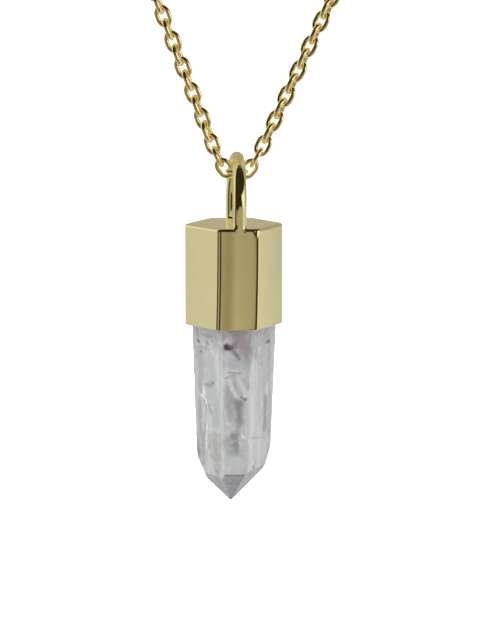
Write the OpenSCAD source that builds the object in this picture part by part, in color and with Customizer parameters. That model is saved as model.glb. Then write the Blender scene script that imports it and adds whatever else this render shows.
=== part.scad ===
// Talisman necklace: a pointed quartz crystal in a six-sided gold cap, hung by a
// soldered bail on a gold cable chain. Millimetres, +Z up, front towards -Y.
// The origin is the nape, the highest point of the chain's loop.

/* [Cap] */
// Width across the two side corners
cap_w = 13.9; // [13.8:0.1:14.2]
// Depth from the front face to the back face
cap_depth = 14; // [13.8:0.1:14.4]
// Height of the cap
cap_h = 14.5; // [12:0.5:18]
// Thickness of the six walls
cap_wall = 0.75; // [0.6:0.01:0.76]
// Thickness of the closed top
cap_top = 1.2; // [0.8:0.1:2]
// Radius of the polished upright edges
cap_edge = 0.35; // [0.2:0.05:0.5]

/* [Bail] */
// Diameter of the bail's round wire
bail_wire = 1.9; // [1.6:0.1:2.2]
// Distance between the middles of its front and back legs
bail_span = 12; // [11:0.1:12]
// Height of the bail over the cap
bail_h = 10.2; // [9.6:0.1:12]
// How far the legs are sunk into the cap's top
bail_sunk = 0.5; // [0.3:0.1:0.7]
// How far the cap's middle lies to the left of the bail
cap_side = 0.45; // [0.2:0.05:0.5]

/* [Crystal] */
// Length of the stone below the cap
crystal_h = 25.6; // [25.3:0.1:27]
// How far the tip lies to the left of the stone's axis
tip_side = 0.5; // [0:0.1:0.8]
// Room between the end of the stone and the inside of the cap's top
crystal_room = 0.15; // [0.1:0.05:0.5]

/* [Chain] */
// Length of the whole necklace, once round
loop_length = 457.2; // [440:0.1:480]
// Links on each side of the link under the bail, an even number
side_links = 114; // [112:2:118]
// Width of a link
link_w = 2.4; // [2.38:0.01:2.5]
// Diameter of a link's wire
link_wire = 0.66; // [0.63:0.01:0.66]
// Gap between the wires of two links where they meet
link_gap = 0.14; // [0.13:0.01:0.16]
// How far the right strand's links are turned about the strand, in degrees
right_side_turn = 28; // [0:1:28]
// The same for the left strand
left_side_turn = 20; // [0:1:20]
// The same for the left strand's lowest links, where the chain is twisted most
low_turn = 34; // [20:1:34]
// Angle of each strand from the middle of the V
half_angle = 23; // [21:0.1:25]
// How far the V leans to the right of upright, in degrees
loop_lean = 2.15; // [0:0.05:3]
// Slope of the first link beside the bail
first_slope = 50; // [44:1:54]
// Slope of the second link beside the bail
second_slope = 62; // [58:1:64]
// Gap between the bail and the links that it rests on
seat_gap = 0.12; // [0.1:0.01:0.2]

/* [Clasp] */
// Diameter of the ring that joins the clasp to the chain, at its wire's middle
jump_ring_d = 2.8; // [2.6:0.1:3.2]
// Diameter of the ring that the clasp hooks into, at its wire's middle
end_ring_d = 4.4; // [4:0.1:5]
// Diameter of both rings' wire
ring_wire = 0.65; // [0.6:0.01:0.66]
// Diameter of the clasp's ring, at its tube's middle
clasp_d = 6; // [5.8:0.1:6.6]
// Diameter of the clasp's tube
clasp_tube = 1.3; // [1.2:0.1:1.5]
// Diameter of the clasp's small eye, at its wire's middle
eye_d = 2.2; // [2.1:0.1:2.4]
// Diameter of the eye's wire
eye_wire = 0.6; // [0.5:0.05:0.6]

/* [Hidden] */
$fn = 24;

gold = [0.80, 0.70, 0.42];
chain_gold = [0.86, 0.68, 0.32];
quartz = [0.84, 0.82, 0.90];

// Half of the cap's front face: its corners all turn by 60 degrees
cap_face = cap_w / 2 - cap_depth / 2 * tan(30);
pocket_h = cap_h - cap_top;
bail_arc = bail_span / 2;
arch_up = bail_h - bail_wire / 2 - bail_arc;

// The stone's faces as they are ground: the direction that a face looks in, turned from
// the front to the right, how far it looks down, and its distance from the stone's axis
// at a depth below the cap
TURN = 0;
LEAN = 1;
REACH = 2;
DEPTH = 3;
side_faces = [
    [0, 1.5, 5.6, 0],
    [55, 2.05, 4.87, 0],
    [125, 2.05, 4.87, 0],
    [180, 1.4, 5.5, 0],
    [235, 1.65, 4.93, 0],
    [305, 1.65, 4.93, 0],
    [270, 23, 5.28, 19.1],
    [90, 18.9, 5.06, 18.4],
];
// The faces of the point meet at the tip: the direction and how far they look down
point_faces = [
    [0, 46.9],
    [60, 40.2],
    [118, 42.2],
    [180, 48],
    [240, 41],
    [300, 42],
];
cut_size = 80;

eye_reach = (clasp_d + clasp_tube + eye_d + eye_wire) / 2 - 0.25;

// Where the clasp's pieces sit, counted from the middle of the left strand's last link
jump_near = ring_seat(0, link_wire);
jump_at = jump_near + jump_ring_d / 2;
eye_near = ring_seat(jump_near + jump_ring_d, ring_wire, eye_wire);
clasp_at = eye_near + eye_d / 2 + eye_reach;
clasp_mid = (eye_near + clasp_at + clasp_d / 2) / 2;
end_near = ring_seat(clasp_at + clasp_d / 2, clasp_tube, ring_wire);
end_at = end_near + end_ring_d / 2;

// A ring's near wire lies inside the piece before it, whose far wire is at a place
function ring_seat(far, wire, own = ring_wire) = far - (wire + own) / 2 - link_gap;

// What the clasp's pieces take of the loop without the two link halves beside them,
// which is counted from the middle of one end wire to the middle of the other
clasp_stretch = ring_seat(end_near + end_ring_d, ring_wire, link_wire);

// The links' pitch fills the rest of the loop, and their length follows from it, to a
// hundredth of a millimetre
pitch = (loop_length - clasp_stretch - link_wire - link_gap) / (2 * side_links + 1);
link_l = round(100 * (pitch + 2 * link_wire + link_gap)) / 100;
half_straight = (link_l - link_w) / 2;

// From a link's middle to the middle of its own end wire, and of the wire held in its end
own_end = (link_l - link_wire) / 2;
held_end = pitch - own_end;

// The first links beside the bail bend where they hold the ends of their neighbours
strand_slope = 90 - half_angle;
function along(slope) = [cos(slope), sin(slope)];
joint_1 = [own_end, 0];
joint_2 = joint_1 + 2 * held_end * along(first_slope);
joint_3 = joint_2 + 2 * own_end * along(second_slope);
strand_start = joint_3 + held_end * along(strand_slope);

// The straight strands run into a round arc that goes round the neck
arc_turn = (180 - strand_slope) * PI / 180;
arc_r = (loop_length / 2 - 3 * pitch + strand_start.x / cos(strand_slope))
    / (tan(strand_slope) + arc_turn);
straight = (arc_r * sin(strand_slope) - strand_start.x) / cos(strand_slope);
loop_h = strand_start.y + straight * sin(strand_slope) + arc_r * (1 + cos(strand_slope));

// The bail's wire is wedged between the two first face-on links
wedge = (link_w + bail_wire) / 2 + seat_gap;
seat_up = (wedge - own_end * sin(first_slope)) / cos(first_slope);

// Places in the frame of the nape
loop_up = [sin(loop_lean), 0, cos(loop_lean)];
chain_low = -loop_h * loop_up;
arch_middle = chain_low + seat_up * loop_up - [0, 0, bail_arc];

// A place on the straight strand or the arc, as [across, up, slope]
function strand_place(s) =
    let (
        past = max(0, s - straight),
        slope = strand_slope + past / arc_r * 180 / PI,
        line = strand_start + s * along(strand_slope),
        round = [arc_r * sin(slope), loop_h - arc_r * (1 + cos(slope))]
    )
    past == 0 ? [line.x, line.y, slope] : [round.x, round.y, slope];

// The place of a link on the right-hand side, counted from the one under the bail
function link_place(i) =
    let (
        first = joint_1 + held_end * along(first_slope),
        second = joint_2 + own_end * along(second_slope)
    )
    i == 0 ? [0, 0, 0]
    : i == 1 ? [first.x, first.y, first_slope]
    : i == 2 ? [second.x, second.y, second_slope]
    : strand_place((i - 3) * pitch);

// How far a link is turned about its strand: the turn grows from link to link beside the
// bail, and on the left it eases again higher up
turn_step = 8;
ease_step = 3;
ease_from = 3;
function right_turn(i) = -min(right_side_turn, turn_step * max(0, i - 1));
function left_turn(i) = min(turn_step * i,
    max(left_side_turn, low_turn - ease_step * max(0, i - ease_from)));

// Hexagon with the cap's proportions, drawn in from its outline
module hexagon(inset) {
    side = cap_w / 2 - inset / cos(30);
    face = cap_face - inset * tan(30);
    front = cap_depth / 2 - inset;
    polygon([
        [side, 0],
        [face, front],
        [-face, front],
        [-side, 0],
        [-face, -front],
        [face, -front],
    ]);
}

// The same hexagon with its six corners rounded by arcs
module rounded_hexagon() {
    side = cap_w / 2 - cap_edge / cos(30);
    face = cap_face - cap_edge * tan(30);
    front = cap_depth / 2 - cap_edge;
    hexagon(cap_edge);
    square([2 * face, cap_depth], center = true);
    for (turn = [-1, 1])
        for (end = [-1, 1])
            translate([end * (side + face) / 2, turn * end * front / 2])
                rotate(turn * 120)
                    square([norm([side - face, front]), 2 * cap_edge], center = true);
    for (end = [-1, 1]) {
        translate([end * side, 0]) circle(r = cap_edge);
        for (row = [-1, 1])
            translate([end * face, row * front]) circle(r = cap_edge);
    }
}

module cap_bail() {
    color(gold) translate(arch_middle) {
        translate([-cap_side, 0, -arch_up - cap_h])
            difference() {
                linear_extrude(cap_h) rounded_hexagon();
                translate([0, 0, -1])
                    linear_extrude(pocket_h + 1) hexagon(cap_wall);
            }
        rotate([90, 0, 90])
            rotate_extrude(angle = 180)
                translate([bail_arc, 0]) circle(d = bail_wire);
        for (end = [-1, 1])
            translate([0, end * bail_arc, -arch_up - bail_sunk])
                cylinder(d = bail_wire, h = arch_up + bail_sunk);
    }
}

// Everything outside a flat face that looks in a direction and down
module ground_away(turn, lean, reach, depth) {
    rotate([0, 0, turn])
        translate([0, -reach, -depth])
            rotate([lean, 0, 0])
                translate([-cut_size / 2, -cut_size, -cut_size / 2])
                    cube(cut_size);
}

module crystal() {
    color(quartz)
        translate(arch_middle - [cap_side, 0, arch_up + cap_h])
            difference() {
                translate([0, 0, -crystal_h - 1])
                    cylinder(d = cap_w, h = crystal_h + 1 + pocket_h - crystal_room);
                for (f = side_faces)
                    ground_away(f[TURN], f[LEAN], f[REACH], f[DEPTH]);
                for (f = side_faces)
                    if (f[DEPTH] == 0)
                        ground_away(f[TURN], 0, f[REACH], 0);
                translate([-tip_side, 0, 0])
                    for (f = point_faces)
                        ground_away(f[TURN], f[LEAN], 0, crystal_h);
            }
}

// One oval link of round wire, lying flat along X
module link() {
    bend = (link_w - link_wire) / 2;
    for (turn = [0, 180])
        rotate([0, 0, turn])
            translate([half_straight, 0, 0])
                rotate([0, 0, -90])
                    rotate_extrude(angle = 180)
                        translate([bend, 0]) circle(d = link_wire);
    for (side = [-1, 1])
        translate([-half_straight, side * bend, 0])
            rotate([0, 90, 0]) cylinder(d = link_wire, h = 2 * half_straight);
}

// One link of the right-hand side, where every second one is turned a quarter further
module placed_link(i, turn) {
    place = link_place(i);
    translate([place.x, 0, place.y])
        rotate([turn + (i % 2 == 0 ? 0 : 90), -place.z, 0])
            link();
}

module chain_right() {
    color(chain_gold) translate(chain_low) rotate([0, loop_lean, 0])
        for (i = [1 : side_links])
            placed_link(i, right_turn(i));
}

module chain_left() {
    color(chain_gold) translate(chain_low) rotate([0, loop_lean, 0])
        mirror([1, 0, 0])
            for (i = [0 : side_links])
                placed_link(i, left_turn(i));
}

// Places a piece on the top of the arc, by its distance from the left strand's end wire
module on_nape(at) {
    turn = (at - clasp_stretch / 2) / arc_r * 180 / PI;
    translate(chain_low) rotate([0, loop_lean, 0])
        translate([arc_r * sin(turn), 0, loop_h - arc_r * (1 - cos(turn))])
            rotate([0, turn, 0])
                children();
}

module wire_ring(d, wire) {
    rotate_extrude() translate([d / 2, 0]) circle(d = wire);
}

module jump_ring() {
    color(chain_gold) on_nape(jump_at) rotate([90, 0, 0])
        wire_ring(jump_ring_d, ring_wire);
}

// A plain round clasp in one piece: the ring and its small eye, which points left
module clasp() {
    color(chain_gold) on_nape(clasp_mid) translate([clasp_at - clasp_mid, 0, 0]) {
        wire_ring(clasp_d, clasp_tube);
        translate([-eye_reach, 0, 0]) wire_ring(eye_d, eye_wire);
    }
}

module end_ring() {
    color(chain_gold) on_nape(end_at) rotate([90, 0, 0])
        wire_ring(end_ring_d, ring_wire);
}

cap_bail();
crystal();
chain_left();
chain_right();
jump_ring();
clasp();
end_ring();
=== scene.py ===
# Talisman necklace: a pointed quartz crystal in a six-sided gold cap, which hangs by a
# soldered bail on a whole gold cable chain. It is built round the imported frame, in metres.
import math

import bmesh
import bpy
import numpy as np
from mathutils import Matrix, Vector, noise
from mathutils.bvhtree import BVHTree


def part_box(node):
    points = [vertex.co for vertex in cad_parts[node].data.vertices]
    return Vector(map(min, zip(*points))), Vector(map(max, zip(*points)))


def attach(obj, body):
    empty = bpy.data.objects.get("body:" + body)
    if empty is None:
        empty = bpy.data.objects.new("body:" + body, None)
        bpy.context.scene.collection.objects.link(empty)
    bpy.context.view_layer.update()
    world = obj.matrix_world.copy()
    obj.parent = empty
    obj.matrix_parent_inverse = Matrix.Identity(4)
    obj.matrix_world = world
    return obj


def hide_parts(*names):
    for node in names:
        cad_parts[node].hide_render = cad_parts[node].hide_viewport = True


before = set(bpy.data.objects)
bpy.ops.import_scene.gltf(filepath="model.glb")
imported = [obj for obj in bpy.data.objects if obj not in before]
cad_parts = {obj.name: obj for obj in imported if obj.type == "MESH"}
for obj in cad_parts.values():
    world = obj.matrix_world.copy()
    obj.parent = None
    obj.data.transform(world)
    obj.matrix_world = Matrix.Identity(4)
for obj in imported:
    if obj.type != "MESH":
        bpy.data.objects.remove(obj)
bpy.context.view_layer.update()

MM = 0.001

# The camera stands level with the loop, a little left of the pendant's front, and looks
# slightly down on the cap. The lens is long, so the cap's edges run almost parallel.
CAP_LOW, CAP_HIGH = (Vector(corner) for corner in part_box("cap_bail"))
CAP_X = (CAP_LOW.x + CAP_HIGH.x) / 2
PICTURE = (480, 640)
FOCAL_PIXELS = 3400
PIXELS_PER_MM = 7.0
CAP_FOOT_AT = (234.05, 323.8)
LOOK_DOWN = math.radians(8.5)
LOOK_RIGHT = math.radians(5.0)
ahead = Vector((
    math.sin(LOOK_RIGHT) * math.cos(LOOK_DOWN),
    math.cos(LOOK_RIGHT) * math.cos(LOOK_DOWN),
    -math.sin(LOOK_DOWN),
))
sideways = ahead.cross(Vector((0, 0, 1))).normalized()
upward = sideways.cross(ahead)
to_right = (CAP_FOOT_AT[0] - PICTURE[0] / 2) / PIXELS_PER_MM * MM
to_top = (PICTURE[1] / 2 - CAP_FOOT_AT[1]) / PIXELS_PER_MM * MM
cap_foot = Vector((CAP_X, 0, CAP_LOW.z))
lens = bpy.data.cameras.new("camera")
lens.sensor_fit = "VERTICAL"
lens.sensor_height = 24
lens.lens = FOCAL_PIXELS / PICTURE[1] * lens.sensor_height
lens.clip_start = 0.01
camera = bpy.data.objects.new("camera", lens)
camera.location = (
    cap_foot - ahead * FOCAL_PIXELS / PIXELS_PER_MM * MM - sideways * to_right - upward * to_top
)
camera.rotation_euler = ahead.to_track_quat("-Z", "Y").to_euler()
bpy.context.scene.collection.objects.link(camera)
bpy.context.scene.camera = camera


# The cap and its bail are one soldered piece of gold-plated metal: a hollow six-sided cap,
# closed on top, and a hoop of round wire whose legs blend into its front and back faces.
# All edges are softened by polishing.
CAP_WIDE = 14.2
CAP_DEEP = 14.0
CAP_TALL = 14.5
WALL = 0.75
TOP_THICK = 1.2
UPRIGHT_ROUND = 0.85
LEAST_ROUND = 0.04
TOP_ROUND = 0.4
FOOT_ROUND = 0.25
INNER_BEVEL = 0.15
ROUND_STEPS = 8
SIDE_HEIGHTS = (2, 4, 6, 8, 10)
# Filing has left the front face a little narrow on the left and aslant toward the foot
FRONT_IN = 0.3
FRONT_LEAN = 0.21
LEFT_OUT = 0.08
FACE_CROWN = 0.07
FACE_STEPS = 24
CROWN_ROOM = 1 - FACE_CROWN / (CAP_DEEP / 2)
CORNER_TURN = 28.0
CORNER_STEPS = 5
FRONT_FACE = 5
WORN_DEEP = 0.025
WORN_WIDE = 1.9
WORN_TALL = 1.35
WORN_STEP = 0.1
WORN_RINGS = 14
# The bail stands a little to the right of the cap's middle, its arch more than its feet
BAIL_SIDE = 0.45
FOOT_SIDE = 0.3
BAIL_WIRE = 1.9
BAIL_SPAN = 12.0
BAIL_TALL = 10.2
FOOT_OUT = 0.13
FOOT_TALL = 2.0
FOOT_EASE = 5.0
ARCH_STEP = 4
WIRE_SIDES = 48
# The legs and their solder are ground off flush with the cap's front and back
FLUSH = 7.005
# Each leg's solder: its side, and how wide and tall its fillet is
SOLDERS = [(-1, 0.75, 0.6), (1, 0.45, 0.35)]
SOLDER_SUNK = 0.2
SOLDER_DEEP = 0.4
SOLDER_STEPS = 10
# The ends of the legs inside the cap's top, as (further in than the span, depth)
LEG_ROOT = [(0.08, 1.1), (-0.02, 0.75)]
LEG_HEIGHTS = (-0.5, -0.1, 0.4, 0.8, 1.2, 1.6, 2.0, 2.3, 2.6, 2.9)


def mesh_object(name, points, faces):
    """A mesh in the frame of the necklace from points in millimetres."""
    mesh = bpy.data.meshes.new(name)
    mesh.from_pydata([tuple(MM * c for c in p) for p in points], [], faces)
    mesh.validate()
    piece = bpy.data.objects.new(name, mesh)
    bpy.context.scene.collection.objects.link(piece)
    return piece


def face_outward(piece):
    """Turns every face of a closed piece to its outside."""
    made = bmesh.new()
    made.from_mesh(piece.data)
    bmesh.ops.recalc_face_normals(made, faces=made.faces)
    made.to_mesh(piece.data)
    made.free()


def solid_of_rings(name, points, around):
    """A solid from the points of its rings, ring after ring, with its two ends closed."""
    faces = [
        (k + i, k + (i + 1) % around, k + around + (i + 1) % around, k + around + i)
        for k in range(0, len(points) - around, around)
        for i in range(around)
    ]
    faces += [tuple(range(around)), tuple(range(len(points) - around, len(points)))]
    solid = mesh_object(name, points, faces)
    face_outward(solid)
    return solid


def apply_modifiers(piece):
    """Makes what the piece's modifiers show its own mesh."""
    graph = bpy.context.evaluated_depsgraph_get()
    graph.update()
    made = bpy.data.meshes.new_from_object(piece.evaluated_get(graph))
    piece.modifiers.clear()
    old, piece.data = piece.data, made
    name = old.name
    bpy.data.meshes.remove(old)
    made.name = name


def corner_wear(off, height):
    """How deep the front face is worn at a place this far from its right edge."""
    near = max(0, 1 - off / WORN_WIDE)
    worn_from = CAP_TALL - TOP_ROUND - WORN_TALL * (1 - math.sqrt(1 - near * near))
    return WORN_DEEP * max(0, height - worn_from) ** 2


def cap_outline(inset, height):
    """The cap's rounded hexagon, drawn in from its sides, at a height over its foot."""
    radius = max(UPRIGHT_ROUND - inset, LEAST_ROUND)
    drawn_in = inset + radius
    face_half = CAP_WIDE / 2 - CAP_DEEP / 2 * math.tan(math.radians(30))
    side = CAP_WIDE / 2 - drawn_in / math.cos(math.radians(30))
    face = face_half - drawn_in * math.tan(math.radians(30))
    front = CAP_DEEP / 2 - drawn_in
    aside = FRONT_LEAN * (1 - height / CAP_TALL) ** 2
    corners = [
        (face - aside, -front, -60), (side, 0, 0), (face, front, 60), (-face, front, 120),
        (-side - LEFT_OUT, 0, 180), (FRONT_IN - face - aside, -front, 240),
    ]
    outline = []
    for k, (x, y, turn) in enumerate(corners):
        after = math.radians(turn + 30)
        for step in range(-CORNER_STEPS, CORNER_STEPS + 1):
            angle = math.radians(turn + CORNER_TURN * step / CORNER_STEPS)
            worn_part = (CORNER_STEPS - step) / (2 * CORNER_STEPS) * (k == 0)
            worn_radius = radius - corner_wear(0, height) * worn_part
            outline.append((
                x + worn_radius * math.cos(angle), y + worn_radius * math.sin(angle), height))
        next_x, next_y, _ = corners[(k + 1) % 6]
        for step in range(1, FACE_STEPS):
            part = step / FACE_STEPS
            low = 4 * FACE_CROWN * part * (1 - part)
            if k == FRONT_FACE:
                low -= corner_wear(2 * face * (1 - part), height)
            outline.append((
                x + (next_x - x) * part + (radius + low) * math.cos(after),
                y + (next_y - y) * part + (radius + low) * math.sin(after),
                height,
            ))
    return [(x * CROWN_ROOM, y * CROWN_ROOM, z) for x, y, z in outline]


def quarter(radius, steps):
    """Places on a quarter round as (how far in, how far along), from the side inward."""
    turns = [math.pi / 2 * k / steps for k in range(steps + 1)]
    return [(radius * (1 - math.cos(turn)), radius * math.sin(turn)) for turn in turns]


# Ring after ring: up inside the cap, round its foot, up its sides and over its top's edge
shoulder = CAP_TALL - TOP_ROUND
cap_rings = [cap_outline(WALL, CAP_TALL - TOP_THICK)]
cap_rings += [cap_outline(WALL, INNER_BEVEL), cap_outline(WALL - INNER_BEVEL, 0)]
cap_rings += [
    cap_outline(inset, FOOT_ROUND - rise)
    for inset, rise in reversed(quarter(FOOT_ROUND, ROUND_STEPS))]
cap_rings += [cap_outline(0, height) for height in SIDE_HEIGHTS]
cap_rings += [cap_outline(0, shoulder - WORN_TALL + WORN_STEP * k) for k in range(WORN_RINGS)]
cap_rings += [
    cap_outline(inset, shoulder + rise) for inset, rise in quarter(TOP_ROUND, ROUND_STEPS)]
cap_points = [point for ring in cap_rings for point in ring]
cap = solid_of_rings("cap_and_bail", cap_points, len(cap_rings[0]))

# The bail's path, over the cap's top: up one leg, round the arch and down the other
leg_tall = BAIL_TALL - BAIL_WIRE / 2 - BAIL_SPAN / 2


def half_span(z):
    """Half the bail's span at a height over the cap: its legs stand a little outward."""
    part = min(1, max(0, (z - FOOT_TALL) / FOOT_EASE))
    return BAIL_SPAN / 2 + FOOT_OUT * (1 - part * part * (3 - 2 * part))


one_leg = [(inward - BAIL_SPAN / 2, -deep, 90) for inward, deep in LEG_ROOT]
one_leg += [(-half_span(z), z, 90) for z in LEG_HEIGHTS]
arch = []
for a in range(ARCH_STEP, 180, ARCH_STEP):
    z = leg_tall + BAIL_SPAN / 2 * math.sin(math.radians(a))
    arch.append((-half_span(z) * math.cos(math.radians(a)), z, 90 - a))
path = one_leg + arch + [(-y, z, -slope) for y, z, slope in reversed(one_leg)]
bail_points = []
for y, z, slope in path:
    aside = FOOT_SIDE + (BAIL_SIDE - FOOT_SIDE) * max(0, z / (leg_tall + BAIL_SPAN / 2)) ** 2
    for k in range(WIRE_SIDES):
        angle = 2 * math.pi * k / WIRE_SIDES
        out = BAIL_WIRE / 2 * math.sin(angle)
        bail_points.append((
            aside + BAIL_WIRE / 2 * math.cos(angle),
            max(-FLUSH, min(FLUSH, y - out * math.sin(math.radians(slope)))),
            CAP_TALL + z + out * math.cos(math.radians(slope)),
        ))
bail = solid_of_rings("bail", bail_points, WIRE_SIDES)

# The solder round a leg's foot: a hollow fillet, ground flush with the cap's face
solders = []
for end, solder_wide, solder_tall in SOLDERS:
    points = []
    rings = [(BAIL_WIRE / 2 + solder_wide, -SOLDER_DEEP)]
    for k in range(SOLDER_STEPS + 1):
        height = solder_tall * (1 - math.cos(math.pi / 2 * k / SOLDER_STEPS))
        rest = 1 - height / solder_tall
        rings.append((BAIL_WIRE / 2 + solder_wide * (1 - math.sqrt(1 - rest * rest)), height))
    # Its upper end closes inside the wire
    rings.append((BAIL_WIRE / 2 - 0.01, solder_tall + 0.05))
    for radius, height in rings:
        for k in range(WIRE_SIDES):
            angle = 2 * math.pi * k / WIRE_SIDES
            outer = math.sin(angle) * end > 0
            deep = BAIL_WIRE / 2 if outer else radius
            points.append((
                FOOT_SIDE + radius * math.cos(angle),
                max(-FLUSH, min(FLUSH, end * half_span(0) + deep * math.sin(angle))),
                CAP_TALL - SOLDER_SUNK + height,
            ))
    solders.append(solid_of_rings("solder", points, WIRE_SIDES))

for added in (bail, *solders):
    union = cap.modifiers.new("union", "BOOLEAN")
    union.operation = "UNION"
    union.solver = "EXACT"
    union.object = added
apply_modifiers(cap)
for added in (bail, *solders):
    bpy.data.objects.remove(added)
cap.data.transform(Matrix.Translation((CAP_X, 0, CAP_LOW.z)))


def soften_shading(piece, crease=16):
    """Smooth shading that keeps the large flat faces flat."""
    piece.data.shade_smooth()
    weigh = piece.modifiers.new("flat_faces", "WEIGHTED_NORMAL")
    weigh.weight = 100
    weigh.mode = "FACE_AREA"
    weigh.keep_sharp = True
    made = bmesh.new()
    made.from_mesh(piece.data)
    for edge in made.edges:
        edge.smooth = not (edge.is_manifold and edge.calc_face_angle(0) > math.radians(crease))
    made.to_mesh(piece.data)
    made.free()


soften_shading(cap)
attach(cap, "pendant")
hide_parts("cap_bail")


def node_group(name, inputs, outputs):
    """A shader node group with named inputs, as (name, kind, value), and named outputs."""
    tree = bpy.data.node_groups.new(name, "ShaderNodeTree")
    for title, kind, value in inputs:
        socket = tree.interface.new_socket(title, in_out="INPUT", socket_type=kind)
        if value is not None:
            socket.default_value = value
    for title, kind in outputs:
        tree.interface.new_socket(title, in_out="OUTPUT", socket_type=kind)
    return tree, tree.nodes.new("NodeGroupInput"), tree.nodes.new("NodeGroupOutput")


def set_inputs(tree, node, values):
    """Gives a node's sockets, by their names or places, their values or links."""
    for title, value in values.items():
        if isinstance(value, bpy.types.NodeSocket):
            tree.links.new(value, node.inputs[title])
        else:
            node.inputs[title].default_value = value


def add_node(tree, kind, values=None, **settings):
    """A node with its settings, and with values or links for its sockets."""
    node = tree.nodes.new(kind)
    for title, value in settings.items():
        setattr(node, title, value)
    set_inputs(tree, node, values or {})
    return node


def new_material(name):
    """A material with its node tree and its Principled shader."""
    material = bpy.data.materials.new(name)
    material.use_nodes = True
    return material, material.node_tree, material.node_tree.nodes["Principled BSDF"]


def calc(tree, operation, *values, clamped=False):
    """What a sum gives for some numbers or links."""
    node = add_node(tree, "ShaderNodeMath", dict(enumerate(values)), operation=operation)
    node.use_clamp = clamped
    return node.outputs[0]


def tones(tree, value, low, high, low_at=0.0, high_at=1.0):
    """A colour that goes from one to another as a value goes from place to place."""
    ramp = add_node(tree, "ShaderNodeValToRGB", {"Fac": value})
    for stop, colour, at in zip(ramp.color_ramp.elements, (low, high), (low_at, high_at)):
        stop.color = (*colour, 1)
        stop.position = at
    return ramp.outputs["Color"]


# Polished plate: soft waves from the buffing wheel, faint hairlines and a slight change of
# tone where the plate is thicker
polish, given, put_out = node_group(
    "polished_plate",
    [("Wave Size", "NodeSocketFloat", 300.0), ("Hairline Size", "NodeSocketFloat", 3000.0),
     ("Roughness", "NodeSocketFloat", 0.08), ("Spread", "NodeSocketFloat", 0.05)],
    [("Height", "NodeSocketFloat"), ("Roughness", "NodeSocketFloat"), ("Tone", "NodeSocketFloat")],
)
place = add_node(polish, "ShaderNodeTexCoord")
waves = add_node(polish, "ShaderNodeTexNoise", {
    "Vector": place.outputs["Object"], "Scale": given.outputs["Wave Size"], "Detail": 1.0})
HAIR_STRETCH = (1, 1, 0.08)
HAIR_PART = 0.02
stretched = add_node(polish, "ShaderNodeMapping", {
    "Vector": place.outputs["Object"], "Scale": HAIR_STRETCH})
hairs = add_node(polish, "ShaderNodeTexNoise", {
    "Vector": stretched.outputs["Vector"], "Scale": given.outputs["Hairline Size"], "Detail": 3.0})
height = calc(polish, "MULTIPLY_ADD", hairs.outputs[0], HAIR_PART, waves.outputs[0])
rough = calc(
    polish, "MULTIPLY_ADD", hairs.outputs[0], given.outputs["Spread"], given.outputs["Roughness"])
set_inputs(polish, put_out, {"Height": height, "Roughness": rough, "Tone": waves.outputs[0]})


def gold_material(name, light, deep, wave_size, roughness, wave_strength):
    """Polished gold plate whose tone drifts between two golds."""
    metal, tree, shader = new_material(name)
    plate = add_node(tree, "ShaderNodeGroup", {
        "Wave Size": wave_size, "Roughness": roughness}, node_tree=polish)
    tone = tones(tree, plate.outputs["Tone"], deep, light, 0.3, 0.7)
    bump = add_node(tree, "ShaderNodeBump", {
        "Height": plate.outputs["Height"], "Strength": wave_strength, "Distance": 0.0001})
    set_inputs(tree, shader, {
        "Metallic": 1.0, "Base Color": tone, "Roughness": plate.outputs["Roughness"],
        "Normal": bump.outputs["Normal"]})
    return metal


cap.data.materials.clear()
cap.data.materials.append(gold_material(
    "cap_gold", (0.80, 0.72, 0.395), (0.78, 0.70, 0.375), 250.0, 0.03, 0.1))


# The stone is a natural quartz point: six long faces with a light taper, two shoulder faces
# and six faces that meet in the tip. Its upper end is set inside the cap. The faces keep
# faint growth lines, and the edges are slightly blunt.
STONE_TALL = 25.6
TIP_SIDE = 0.46
TIP_BLUNT = 0.1
POCKET = CAP_TALL - TOP_THICK
STONE_ROOM = 0.15
ROUGH_BLOCK = 90
GRID_SIZE = 0.16
EDGE_BLUNT = 0.03
EDGE_WIDE = 0.16
SLOPE_STEP = 0.01
# The long faces as (turn, lean, reach, depth), and the point's faces as (turn, lean), in degrees
SIDE_FACES = [
    (0, 1.5, 5.6, 0), (55, 2.05, 4.87, 0), (125, 2.05, 5.05, 0), (180, 1.4, 5.5, 0),
    (235, 1.65, 4.93, 0), (305, 1.65, 4.93, 0), (270, 23, 5.28, 19.1), (90, 18.9, 5.06, 18.4),
]
POINT_FACES = [(0, 46.9), (60, 40.2), (118, 42.2), (180, 48), (240, 41), (300, 42)]


def ground_plane(turn, lean, reach, depth, side=0.0):
    """A ground face as its outward direction and its distance from the stone's origin."""
    turned = Matrix.Rotation(math.radians(turn), 3, "Z")
    outward = turned @ Vector((0, -math.cos(math.radians(lean)), -math.sin(math.radians(lean))))
    on_face = turned @ Vector((0, -reach, -depth)) + Vector((side, 0, 0))
    return (*outward, outward.dot(on_face))


planes = [ground_plane(*face) for face in SIDE_FACES]
planes += [ground_plane(turn, 0, reach, 0) for turn, _, reach, depth in SIDE_FACES if depth == 0]
planes += [ground_plane(turn, lean, TIP_BLUNT, STONE_TALL, -TIP_SIDE) for turn, lean in POINT_FACES]
planes += [(0, 0, 1, POCKET - STONE_ROOM), (0, 0, -1, STONE_TALL)]
PLANES = np.array(planes)

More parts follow.
